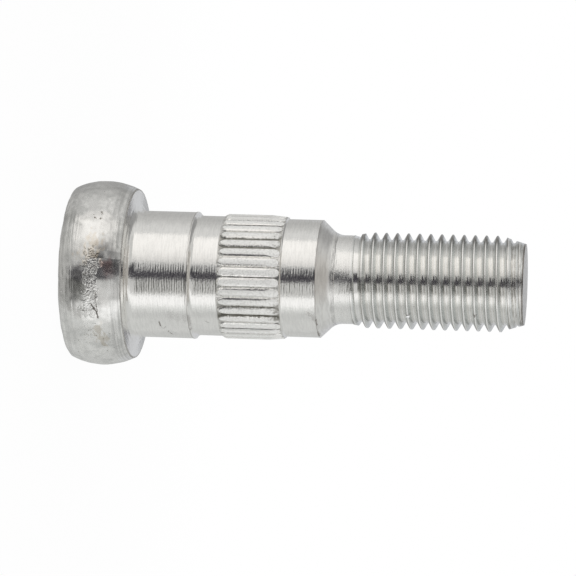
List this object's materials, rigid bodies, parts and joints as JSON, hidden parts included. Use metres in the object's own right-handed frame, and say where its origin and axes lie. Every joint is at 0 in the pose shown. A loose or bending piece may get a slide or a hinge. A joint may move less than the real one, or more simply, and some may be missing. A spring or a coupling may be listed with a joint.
{
  "type": "wheel stud",
  "caption": "Press-in wheel stud with a thick round head, stepped shank, straight knurl, coned shoulder, narrow neck and a threaded end.",
  "frame": {"origin": "centre of the head's outer flat face, which the stud stands on", "axes": "+Z along the stud's axis, from the head towards the threaded end"},
  "size_m": [0.0212, 0.0212, 0.0521],
  "materials": {
    "zinc_plated_steel": "bright zinc plate over forged, turned and rolled steel"
  },
  "bodies": {
    "root": {"wheel_stud": "zinc_plated_steel"}
  },
  "joints": []
}
